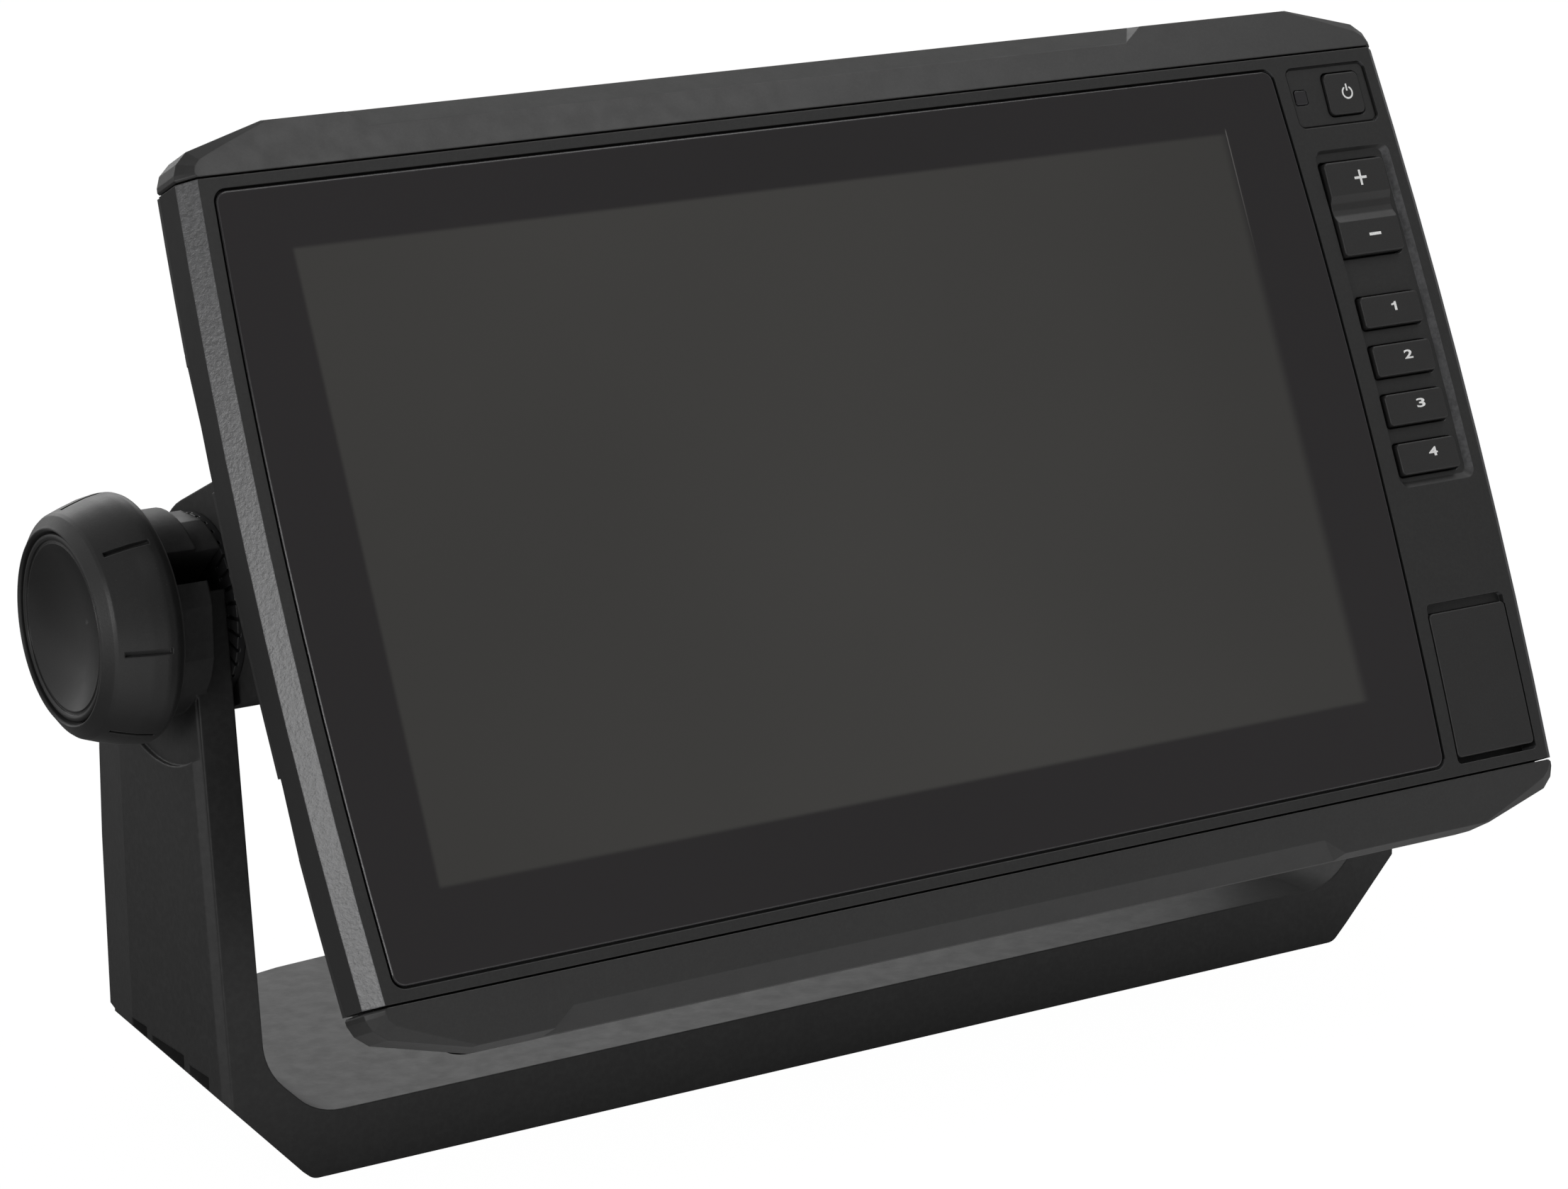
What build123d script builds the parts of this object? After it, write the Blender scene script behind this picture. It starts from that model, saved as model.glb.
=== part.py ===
from build123d import *
import math
import os

# Nine-inch chartplotter display on a tilting bail bracket. Millimetres.
# Origin at the centre of the bracket's underside, X to the right as seen by the
# helmsman, Y towards the back, Z up.
# The display head is modelled upright in its own frame: origin at the centre of the
# cover glass on the front face, Y into the case, Z up the screen. It is then leaned
# back about the line through both knobs. The bracket's own Y runs back from its front.
# Areas seen from the front are (x0, x1, z0, z1).

# ---- display head, front view ----
FACE_HALF = 126.4            # half width of the front face at its corners
BOW = 2.3                    # outward bow of each side at mid height
SIDE_CHAMFER = 3.0           # width and depth
BEZEL_HALF = FACE_HALF + SIDE_CHAMFER
PART_Z = 71.7                # parting lines between bezel and snap trims
PART_GAP = 0.15              # half the gap at a parting line
BEZEL_DEPTH = 10.0
GLASS_LEFT, GLASS_RIGHT = -123.6, 101.4
GLASS_HALF_Z = 69.05
GLASS_BACK = 1.6
LCD = (-116.0, 91.4, -59.6, 61.8)

# ---- key column ----
KEY_X0, KEY_X1 = 108.9, 123.1
KEY_HEIGHT = 6.2
KEY_ZS = (19.4, 9.63, -0.13, -9.9)
DOME_X = 115.6
KEY_GAP = 0.34
ROCKER = (108.2, 122.7, 30.8, 49.5)
ROCKER_MID = 40.15
POWER_KEY = (113.7, 122.1, 58.8, 67.1)
SENSOR = (106.2, 109.0, 61.7, 64.5)
POWER_FIELD = (104.7, 124.2, 56.8, 69.1)     # shallow field round the power key
POWER_FIELD_DEPTH = 0.45
KEY_FIELD = (106.6, 124.9, -14.6, 51.6)      # field round the rocker and keys
KEY_FIELD_DEPTH = 0.9

# ---- card door ----
DOOR_Z0, DOOR_Z1 = -68.2, -40.2
POCKET_Z0, POCKET_Z1 = -69.4, -38.3
PIN_Z, PIN_Y, PIN_R = -66.9, 1.7, 0.6

# ---- fixings in the head, (x, z) ----
SPREADER_SCREWS = [(-120.2, -40.0), (-120.2, 40.0), (97.6, -60.0), (97.6, 60.0)]
BOARD_POSTS = [(x, z) for x in (-88.0, 0.0, 88.0) for z in (-44.0, 44.0)]
CASE_SCREWS = [(x, s * 73.6) for x in (-92.0, -34.0, 34.0, 92.0) for s in (1, -1)]
FLUSH_HOLES = [(sx * 112.0, sz * 75.3) for sx in (1, -1) for sz in (1, -1)]
PEG_XS, PEG_Z = (-74.0, -14.0, 50.0, 100.5), 75.6
PEGS = [(x, s * PEG_Z) for x in PEG_XS for s in (1, -1)]
SOCKET_BOARD_PILLARS = [(-56.0, -10.0), (56.0, -10.0), (-56.0, -48.5), (56.0, -48.5)]

# ---- snap trims ----
TRIM_TOP = 82.0              # outermost height
TRIM_FULL_Y = 3.0            # depth where the outline reaches full size
TRIM_SLOPE = 0.274           # depth gained per millimetre up the front face
TRIM_EDGE_Z = 78.0           # height of the front edge along the middle
TRIM_SEAM_Z = PART_Z + PART_GAP
# Right half of the upper trim's outline (x, z), from the parting line up
TRIM_START = PART_Z + 0.25
TRIM_FRONT = [(126.1, TRIM_START), (126.4, TRIM_START + 0.4), (126.2, 73.0), (125.6, 73.7),
              (124.4, 74.3), (107.6, 79.6)]
TRIM_BACK = [(129.0, TRIM_START), (129.3, TRIM_START + 0.4), (129.2, 73.2), (128.3, 75.2),
             (126.0, 77.15), (108.2, TRIM_TOP)]

# ---- case ----
HOUSE_HALF = 118.5
HOUSE_DEPTH = 57.0
WALL = 3.0
LIP_Y0, LIP_Y1 = BEZEL_DEPTH + 0.2, BEZEL_DEPTH + 2.0
BOSS_R, BOSS_X0, BOSS_X1 = 19.0, 100.0, 122.3
BAY = (-62.0, 62.0, -44.0, -14.0)            # connector bay
BAY_Y, BAY_WALL = 44.0, 2.6
VENT_X, VENT_Z = 84.0, -44.0
SOCKET_Z = -29.0
# Each socket: x, flange radius, number of pins, radius of the pin circle
SOCKETS = {
    "power_socket": [(-46.0, 9.0, 4, 3.2)],
    "network_sockets": [(-21.0, 7.5, 4, 2.4), (0.0, 7.5, 4, 2.4)],
    "data_bus_socket": [(21.0, 7.5, 5, 2.7)],
    "sonar_socket": [(46.0, 9.5, 8, 4.2)],
}

# ---- tilt ----
HEAD_PIVOT_Y, HEAD_PIVOT_Z = 44.1, 5.9       # pivot in the head's own frame
TILT = 24.0                                  # lean back at rest
STUD_R = 3.0
RUNNING_GAP = 0.05                           # radial clearance round the stud

# ---- bracket ----
BASE_DEPTH = 80.0
FRONT_Y = -BASE_DEPTH / 2
PIVOT_Y, PIVOT_Z = 20.5, 102.5               # pivot in the bracket's own frame
ARM_IN, ARM_OUT = 124.0, 132.0
FLOOR_Z = 12.0
BOTTOM_HALF = 115.7
HUB_IN, HUB_OUT, HUB_R = 129.0, 135.4, 18.2
SCREW_X, SCREW_YS, SCREW_R = 76.5, (15.5, 58.0), 2.6
COUNTERSINK = 0.8

# ---- knob ----
KNOB_IN, KNOB_OUT, KNOB_R = 136.6, 150.0, 22.15
KNOB_BORE = 4.2

PIVOT_PLACE = Pos(0, FRONT_Y + PIVOT_Y, PIVOT_Z) * Rot(-TILT, 0, 0)
HEAD_PLACE = PIVOT_PLACE * Pos(0, -HEAD_PIVOT_Y, -HEAD_PIVOT_Z)
BRACKET_PLACE = Pos(0, FRONT_Y, 0)


# ------------------------------- helpers -----------------------------------
def box(x0, x1, y0, y1, z0, z1):
    return Pos((x0 + x1) / 2, (y0 + y1) / 2, (z0 + z1) / 2) * Box(x1 - x0, y1 - y0, z1 - z0)


def rod_y(x, z, r, y0, y1):
    return Pos(x, (y0 + y1) / 2, z) * Rot(90, 0, 0) * Cylinder(r, y1 - y0)


def rod_x(y, z, r, x0, x1):
    return Pos((x0 + x1) / 2, y, z) * Rot(0, 90, 0) * Cylinder(r, x1 - x0)


def rod_z(x, y, r, z0, z1):
    return Pos(x, y, (z0 + z1) / 2) * Cylinder(r, z1 - z0)


def front_plane(y):
    return Plane(origin=(0, y, 0), x_dir=(1, 0, 0), z_dir=(0, -1, 0))


def level_plane(z):
    return Plane(origin=(0, 0, z), x_dir=(1, 0, 0), z_dir=(0, 0, 1))


def extrude_y(sketch, y0, y1):
    """Extrude a front-view sketch (x, z)."""
    return extrude(front_plane(y1) * sketch, amount=y1 - y0)


def extrude_x(sketch, x0, x1):
    """Extrude a side-view sketch (y, z)."""
    plane = Plane(origin=(x0, 0, 0), x_dir=(0, 1, 0), z_dir=(1, 0, 0))
    return extrude(plane * sketch, amount=x1 - x0)


def extrude_z(sketch, z0, z1):
    """Extrude a plan-view sketch (x, y)."""
    return extrude(level_plane(z0) * sketch, amount=z1 - z0)


def poly(points):
    return make_face(Polyline(*points, close=True))


def mirrored_poly(right_half, up=1):
    """Polygon from its right half, closed by its mirror image; up=-1 turns it over."""
    right = [(x, up * z) for x, z in right_half]
    return poly(right + [(-x, z) for x, z in reversed(right) if x != 0])


def rect(x0, x1, z0, z1, r=0.0):
    width, height = x1 - x0, z1 - z0
    shape = RectangleRounded(width, height, r) if r > 0 else Rectangle(width, height)
    return Pos((x0 + x1) / 2, (z0 + z1) / 2) * shape


def centred(half_x, half_z, r):
    return rect(-half_x, half_x, -half_z, half_z, r)


def grown(area, by):
    x0, x1, z0, z1 = area
    return (x0 - by, x1 + by, z0 - by, z1 + by)


def sided(side, inner, outer):
    """X range between two distances from the middle, on the right (1) or left (-1)."""
    return (inner, outer) if side > 0 else (-outer, -inner)


def bow_at(z):
    return BOW * (1.0 - (z / PART_Z) ** 2)


def bowed(x0, x1, z0, z1, r=0.0, left=1.0, right=1.0, z_mid=None):
    """Outline whose sides are arcs following the bow, scaled by left and right."""
    if z_mid is None:
        z_mid = (z0 + z1) / 2
    lefts = [(x0 - left * bow_at(z), z) for z in (z0, z_mid, z1)]
    rights = [(x1 + right * bow_at(z), z) for z in (z0, z_mid, z1)]
    face = make_face(Line(lefts[0], rights[0]) + ThreePointArc(*rights)
                     + Line(rights[2], lefts[2]) + ThreePointArc(*reversed(lefts)))
    return fillet(face.vertices(), r) if r > 0 else face


def largest(shape):
    """Largest solid of a result."""
    return max(shape.solids(), key=lambda solid: solid.volume)


def soft(operation, shape, edges, size):
    """Fillet or chamfer edges; the shape stays sharp where the kernel cannot do it."""
    try:
        result = operation(edges, size)
        if result.is_valid and result.volume > 0:
            return result
    except Exception:
        pass
    return shape


def front_edges(shape):
    return shape.faces().sort_by(Axis.Y)[0].edges()


def pan_screw(x, z, seat, head_r, head_h, shank_r, shank_l):
    """Cross-slotted screw; the head stands behind the seat, the shank runs forward."""
    top = seat + head_h
    slot_half, slot_depth, arm = 0.35, 0.7, head_r * 0.6
    screw = rod_y(x, z, head_r, seat, top)
    rim = screw.faces().sort_by(Axis.Y)[-1].edges()
    screw = soft(fillet, screw, rim, head_h * 0.45)
    screw += rod_y(x, z, shank_r, seat - shank_l, seat + 0.1)
    for half_x, half_z in ((arm, slot_half), (slot_half, arm)):
        screw -= box(x - half_x, x + half_x, top - slot_depth, top + 1, z - half_z, z + half_z)
    return largest(screw)


def save(name, shape, place):
    pieces = shape if isinstance(shape, (list, tuple)) else [shape]
    solids = [place * solid for piece in pieces for solid in piece.solids()]
    result = solids[0] if len(solids) == 1 else Compound(children=solids)
    result.label = name
    export_step(result, f"parts/{name}.step")


# ------------------------------ front bezel --------------------------------
def key_area(z):
    return (KEY_X0, KEY_X1, z - KEY_HEIGHT / 2, z + KEY_HEIGHT / 2)


def key_field(grow_left, grow_right, grow_bottom, grow_top, r):
    """Outline of the field round the keys; the arcs keep the ungrown middle height."""
    x0, x1, z0, z1 = KEY_FIELD
    scale = 0.9
    return bowed(x0 - grow_left, x1 + grow_right - scale * 1.6, z0 - grow_bottom, z1 + grow_top,
                 r, left=-0.8, right=scale, z_mid=(z0 + z1) / 2)


def power_field(inset, r):
    return bowed(*grown(POWER_FIELD, -inset), r, left=-0.8, right=0.8)


def door_outline(z0, z1, inset=0.0):
    return bowed(104.7 + inset, 124.2 - inset, z0, z1, 0.9, left=-1.05, right=0.85)


def seal_ring(gap=0.0):
    """Loop of the case seal, thinned by a gap on both sides."""
    return (centred(126.2 - gap, 69.4 - gap, 6.0 - gap)
            - centred(124.4 + gap, 67.6 + gap, 4.6 + gap))


def front_bezel():
    half_z = PART_Z - PART_GAP
    face = bowed(-FACE_HALF, FACE_HALF, -half_z, half_z)
    side = bowed(-BEZEL_HALF, BEZEL_HALF, -half_z, half_z)
    back = BEZEL_DEPTH + 1
    bezel = loft([front_plane(0) * face, front_plane(SIDE_CHAMFER) * side], ruled=True)
    bezel += extrude_y(side, SIDE_CHAMFER, BEZEL_DEPTH)
    # mounting flanges that the snap trims hide
    for up in (1, -1):
        flange = mirrored_poly([(127.0, 70.0), (126.2, 74.4), (109.6, 79.4)], up)
        bezel += extrude_y(flange, 4.5, BEZEL_DEPTH)
    # hollow behind the face
    bezel -= extrude_y(centred(123.0, 66.5, 4.0), 3.2, back)
    bezel -= extrude_y(rect(112.0, 124.2, -16.5, 68.3, 1.0), 3.2, 4.9)
    # pillars that take the heat spreader's screws
    for x, z in SPREADER_SCREWS:
        bezel += rod_y(x, z, 2.5, 3.0, 7.95)
        if x < 0:
            bezel += box(-124.0, x, 3.0, 7.95, z - 2.5, z + 2.5)
    # card bay block
    bezel += box(103.4, 124.4, 2.0, 7.2, -68.0, -36.6)
    # glass seat and display opening
    gap = 0.48
    seat = bowed(GLASS_LEFT - gap, GLASS_RIGHT + gap, -GLASS_HALF_Z - gap, GLASS_HALF_Z + gap, 2.6)
    bezel -= extrude_y(seat, -1, GLASS_BACK + 0.2)
    bezel -= extrude_y(rect(*grown(LCD, 0.4), 1.0), 0, 4)
    # field round the power key and the light sensor, with a groove along its border
    field = power_field(0.0, 1.6)
    bezel -= extrude_y(field, -1, POWER_FIELD_DEPTH)
    bezel -= extrude_y(field - power_field(0.4, 1.2), -1, POWER_FIELD_DEPTH + 0.4)
    # key field: floor with a sloping border that is widest at right and bottom
    bezel -= loft([front_plane(-0.4) * key_field(0.7, 1.35, 1.35, 0.9, 2.2),
                   front_plane(KEY_FIELD_DEPTH) * key_field(0.0, -0.6, -0.4, 0.0, 1.4)],
                  ruled=True)
    # holes for keys, rocker, power key and sensor
    for z in KEY_ZS:
        bezel -= extrude_y(rect(*grown(key_area(z), KEY_GAP), 0.9), -1, 5)
    x0, x1, z0, z1 = grown(ROCKER, KEY_GAP)
    bezel -= extrude_y(rect(x0 - 0.05, x1 + 0.05, z0 - 0.1, z1 + 0.1, 0.9), -1, 5)
    bezel -= extrude_y(rect(*grown(POWER_KEY, KEY_GAP), 1.3), -1, 5)
    bezel -= extrude_y(rect(*grown(SENSOR, 0.2), 0.6), -1, 5)
    # card door pocket, finger relief above it, and card slot
    bezel -= extrude_y(door_outline(POCKET_Z0, -40.02), -1, 4.3)
    bezel -= extrude_y(door_outline(-41.5, POCKET_Z1, 0.15), -1, 1.3)
    bezel -= box(106.3, 113.5, 3, 11, -61.9, -42.6)
    # hinge pin holes beside the pocket
    bezel -= rod_x(PIN_Y, PIN_Z, PIN_R, 103.2, 126.0)
    # seal groove on the back face
    bezel -= extrude_y(seal_ring(), 8.6, back)
    # holes from the back: places, radius, depth where they start
    for places, r, y0 in ((FLUSH_HOLES, 2.1, 3), (PEGS, 1.58, 3),
                          (CASE_SCREWS, 1.3, 5.6), (SPREADER_SCREWS, 1.42, 4.4)):
        for x, z in places:
            bezel -= rod_y(x, z, r, y0, back)
    return largest(bezel)


# --------------------------- glass and display -----------------------------
def cover_glass():
    outline = bowed(GLASS_LEFT, GLASS_RIGHT, -GLASS_HALF_Z, GLASS_HALF_Z, 2.3)
    glass = extrude_y(outline, 0.05, GLASS_BACK)
    return largest(soft(chamfer, glass, front_edges(glass), 0.18))


def glass_adhesive():
    inset = 0.5
    outline = bowed(GLASS_LEFT + inset, GLASS_RIGHT - inset,
                    -GLASS_HALF_Z + inset, GLASS_HALF_Z - inset, 2.0)
    frame = outline - rect(*grown(LCD, 0.9), 1.0)
    return largest(extrude_y(frame, GLASS_BACK, GLASS_BACK + 0.2))


def lcd_panel():
    x0, x1, z0, z1 = LCD
    return box(x0, x1, GLASS_BACK + 0.02, 3.3, z0, z1)


def lcd_backlight():
    """Tray with a raised rim in front and shallow grooves in its back."""
    x0, x1, z0, z1 = grown(LCD, 1.4)
    tray = box(x0, x1, 3.35, 7.4, z0, z1)
    x0, x1, z0, z1 = grown(LCD, 0.6)
    tray -= box(x0, x1, 3.0, 4.2, z0, z1)
    for i in range(5):
        x = -98 + i * 42
        tray -= box(x - 6, x + 6, 7.0, 8, -48, 50)
    return largest(tray)


def heat_spreader():
    """Plate with ribs and six standing posts for the main board."""
    y0, y1 = 8.0, 9.4
    plate = extrude_y(rect(-118.0, 102.0, -64.5, 64.5, 3.0), y0, y1)
    plate -= box(-40.0, -14.0, 7, 11, -58.5, -54.0)
    for x, z in BOARD_POSTS:
        plate += rod_y(x, z, 3.2, y1 - 0.1, 17.0)
        plate -= rod_y(x, z, 1.25, 10.2, 18)
    for i in range(7):
        x = -60 + i * 20
        plate += box(x - 0.8, x + 0.8, y1 - 0.1, 12.5, -34, 34)
    for x, z in SPREADER_SCREWS:
        if x < 0:
            plate += box(-122.7, -116.0, y0, y1, z - 3.6, z + 3.6)
        plate -= rod_y(x, z, 1.6, 7, 11)
    return largest(plate)


def spreader_screws():
    return [pan_screw(x, z, seat=9.45, head_r=2.6, head_h=1.6, shank_r=1.4, shank_l=4.0)
            for x, z in SPREADER_SCREWS]


# ------------------------------- main board --------------------------------
BOARD_Y0, BOARD_Y1 = 17.05, 18.65
ON_BOARD_Y = 18.7            # parts that stand on the board's back start here
# Block components: x, z, width, height, thickness
BLOCKS = [
    (-20, 8, 15, 15, 2.0), (4, 14, 11, 13, 1.2), (4, -2, 11, 13, 1.2), (-44, 4, 9, 9, 1.4),
    (30, -26, 12, 8, 1.8), (62, 10, 7, 7, 1.0), (70, -22, 14, 6, 4.0), (-70, -26, 10, 12, 5.0),
    (48, 30, 6, 4, 1.0), (-64, 26, 8, 6, 1.5),
]
# Round components: x, z, radius, height
CANS = [(78, -4, 4.0, 7.0), (82, 8, 3.2, 6.0), (-84, -12, 4.0, 7.0), (-84, 0, 3.2, 6.0)]


def main_board():
    board = extrude_y(centred(95.0, 50.0, 2.0), BOARD_Y0, BOARD_Y1)
    for x, z in BOARD_POSTS:
        board -= rod_y(x, z, 1.5, 16, 20)
    for x, z, w, h, thick in BLOCKS:
        board += box(x - w / 2, x + w / 2, 18.6, BOARD_Y1 + thick, z - h / 2, z + h / 2)
    for x, z, r, height in CANS:
        board += rod_y(x, z, r, 18.6, BOARD_Y1 + height)
    # connector on the front of the board for the flat cable
    board += box(-36, -14, 15.2, 17.1, -49.0, -45.2)
    return largest(board)


def board_screws():
    return [pan_screw(x, z, seat=ON_BOARD_Y, head_r=2.6, head_h=1.5, shank_r=1.2, shank_l=6.5)
            for x, z in BOARD_POSTS]


def shield_can():
    can = box(-58, -34, ON_BOARD_Y, 22.6, -8.0, 16.0)
    can -= box(-57.6, -34.4, 18.0, 22.2, -7.6, 15.6)
    for i in range(4):
        for j in range(4):
            can -= rod_y(-53.5 + i * 5, -3.5 + j * 5, 0.8, 20, 24)
    return largest(can)


def gnss_antenna():
    antenna = box(10, 35, ON_BOARD_Y, 22.7, 23.0, 48.0)
    antenna += extrude_y(rect(13.5, 31.5, 26.5, 44.5, 1.0), 22.6, 22.9)
    antenna += rod_y(24.0, 33.5, 1.2, 22.6, 23.5)
    return largest(antenna)


def buzzer():
    x, z = 50.0, -38.0
    return largest(rod_y(x, z, 6.0, ON_BOARD_Y, 24.7) - rod_y(x, z, 1.3, 22, 25))


def lcd_ribbon_cable():
    """Flat cable from the backlight tray through the spreader slot to the board."""
    # side view (y, z)
    profile = poly([(7.45, -57.9), (8.9, -57.9), (15.4, -50.4), (15.4, -49.05),
                    (15.15, -49.05), (15.15, -50.3), (8.75, -57.6), (7.45, -57.6)])
    return largest(extrude_x(profile, -35.0, -15.0))


# ------------------------------- keypad ------------------------------------
def keypad_board():
    y0 = 6.1
    board = extrude_y(rect(104.6, 121.6, -15.6, 64.4, 1.0), y0, 7.7)
    board -= box(103, 106.0, 5, 9, 20, 30)
    for z in KEY_ZS:
        board += rod_y(DOME_X, z, 2.4, 6.0, y0)
    return largest(board)


def keypad_mat():
    """Sheet with a tapered bump behind each key and a window behind the sensor."""
    mat = extrude_y(rect(104.8, 121.4, -15.2, 64.2, 1.0), 5.15, 6.0)
    rocker_x, rocker_inset = 115.05, 4.4
    bumps = [(DOME_X, z) for z in KEY_ZS]
    bumps += [(rocker_x, ROCKER[3] - rocker_inset), (rocker_x, ROCKER[2] + rocker_inset),
              (117.65, 62.9)]
    low = (Align.CENTER, Align.CENTER, Align.MIN)
    for x, z in bumps:
        mat += Pos(x, 5.2, z) * Rot(90, 0, 0) * Cone(2.6, 1.7, 0.6, align=low)
    mat -= extrude_y(rect(105.4, 109.7, 60.7, 64.0, 0.4), 4, 7)
    return largest(mat)


def key_cap(area, y_top, r, crown):
    """Key with softened front edge and a retaining flange behind the bezel wall."""
    y_back = 3.9
    key = extrude_y(rect(*area, r), y_top, y_back)
    key = soft(fillet, key, front_edges(key), crown)
    key += extrude_y(rect(*grown(area, 0.6), r + 0.4), 3.32, y_back)
    return largest(key)


def power_key():
    return key_cap(POWER_KEY, y_top=-0.15, r=1.2, crown=0.3)


def zoom_rocker():
    """Two pads with a hollow saddle between them, and a cross bar behind."""
    x0, x1, z0, z1 = ROCKER
    rocker = extrude_y(rect(x0, x1, z0, z1, 0.9), -0.7, 3.6)
    rocker = soft(fillet, rocker, front_edges(rocker), 0.4)
    # side view (y, z)
    saddle = poly([(-3, 36.2), (-0.75, 37.4), (0.15, 38.9), (0.35, ROCKER_MID),
                   (0.15, 41.4), (-0.75, 42.9), (-3, 44.1)])
    saddle = fillet(saddle.vertices().filter_by(lambda v: v.X > -2), 0.9)
    rocker -= extrude_x(saddle, x0 - 2, x1 + 2)
    rocker += (rod_x(3.98, ROCKER_MID, 0.5, x0 - 0.85, x1 + 0.85)
               + box(x0 + 0.2, x1 - 0.2, 3.5, 4.0, 39.4, 40.9))
    return largest(rocker)


def light_sensor_window():
    x0, x1, z0, z1 = grown(SENSOR, 0.5)
    window = extrude_y(rect(*SENSOR, 0.45), POWER_FIELD_DEPTH - 0.08, 3.4)
    window += extrude_y(rect(x0 - 0.1, x1, z0, z1, 0.4), 3.3, 4.0)
    window += rod_y(107.55, 63.1, 0.9, 3.9, 6.0)
    return largest(window)


# ------------------------------ card door ----------------------------------
def card_door():
    door = extrude_y(door_outline(DOOR_Z0, DOOR_Z1, 0.32), -0.15, 2.0)
    door = soft(fillet, door, front_edges(door), 0.3)
    # thin the lower edge, then add the hinge barrel
    door -= box(104, 127, 1.0, 4, -70, PIN_Z + 1.9)
    x0, x1 = 106.6, 122.9
    door += rod_x(PIN_Y, PIN_Z, 1.3, x0, x1) + box(x0, x1, 0.4, 2.2, PIN_Z, PIN_Z + 3.0)
    door -= rod_x(PIN_Y, PIN_Z, PIN_R + 0.05, 100, 130)
    # catch at the top
    door += box(112.0, 118.0, 1.9, 3.2, -41.6, -40.7)
    return largest(door)


def card_door_pin():
    return rod_x(PIN_Y, PIN_Z, PIN_R, 103.3, 125.9)


def card_door_seal():
    loop = rect(107.9, 121.7, -62.8, -41.9, 1.0) - rect(109.3, 120.3, -61.4, -43.3, 0.8)
    return largest(extrude_y(loop, 2.0, 4.22))


def card_reader():
    """Block with two card slots, each widened in the middle at its mouth."""
    reader = box(106.6, 112.7, 5.2, 20.9, -61.4, -43.1)
    for x in (108.5, 111.4):
        reader -= box(x - 0.55, x + 0.55, 4, 19.8, -58.2, -46.2)
        reader -= box(x - 0.95, x + 0.95, 4, 6.2, -54.5, -49.9)
    return largest(reader)


# ------------------------------ snap trims ---------------------------------
def facet_cut(offset=0.0):
    """Sloping hollow along the middle of the trim's front edge, with ramped ends."""
    edge_y = (TRIM_EDGE_Z - TRIM_SEAM_Z) * TRIM_SLOPE
    slope = (TRIM_TOP - TRIM_EDGE_Z) / (5.9 - edge_y)
    z_at_front = TRIM_EDGE_Z - slope * edge_y - offset
    prism = extrude_x(poly([(-4, z_at_front - 4 * slope), (20, z_at_front + 20 * slope),
                            (20, 120), (-4, 120)]), -140, 140)
    edge = TRIM_EDGE_Z - offset
    left = -91.0 - offset * 1.5

    def span(shift):
        """Front-view limits of the hollow; the shift moves the right end."""
        right = 69.0 + shift + offset * 1.5
        return poly([(left, edge - 5), (right, edge - 5), (right, edge),
                     (right + 11.6, edge + 7.0), (left - 9.0, edge + 7.0), (left, edge)])

    return prism & loft([front_plane(-5.0) * span(6.0), front_plane(15.0) * span(-6.0)],
                        ruled=True)


def top_trim():
    back_outline = mirrored_poly(TRIM_BACK)
    trim = loft([front_plane(0) * mirrored_poly(TRIM_FRONT),
                 front_plane(TRIM_FULL_Y) * back_outline], ruled=True)
    trim += extrude_y(back_outline, TRIM_FULL_Y, BEZEL_DEPTH + 0.6)
    # the front face leans back from the parting line
    trim -= extrude_x(poly([(-5, 60), (-5, 95), ((95 - TRIM_SEAM_Z) * TRIM_SLOPE, 95),
                            ((60 - TRIM_SEAM_Z) * TRIM_SLOPE, 60)]), -140, 140)
    # the top runs up a little behind its front edge
    trim -= extrude_x(poly([(0, 80.55), (6.1, TRIM_TOP), (6.1, 90), (0, 90)]), -140, 140)
    trim -= facet_cut()
    # hollow behind: front plate and top wall stay about two millimetres thick
    hollow = extrude_y(mirrored_poly([(127.3, 69), (127.3, 73.6), (125.6, 75.6), (109.9, 79.9)]),
                       2.0, BEZEL_DEPTH + 2)
    hollow -= facet_cut(2.2)
    keep = extrude_x(poly([(0, 68), (1.95, 68), (1.95, 71.6), (3.35, 76.7),
                           (6.6, 79.6), (7.0, 84), (0, 84)]), -140, 140)
    trim -= (hollow - keep)
    # clearance round the bezel's flange
    trim -= extrude_y(mirrored_poly([(127.25, 71.0), (126.5, 74.7), (109.75, 79.7)]),
                      4.3, BEZEL_DEPTH + 2)
    for x in PEG_XS:
        trim += rod_y(x, PEG_Z, 1.5, 1.5, 7.4)
    return largest(trim)


# ----------------------------- rear housing --------------------------------
def case_seal():
    return largest(extrude_y(seal_ring(0.1), 8.62, BEZEL_DEPTH + 0.18))


def tapered(stations):
    """Body through three rounded rectangles: depth, half width, half height, radius."""
    first, middle, last = [front_plane(y) * centred(half_x, half_z, r)
                           for y, half_x, half_z, r in stations]
    return loft([first, middle], ruled=True) + loft([middle, last], ruled=True)


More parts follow.
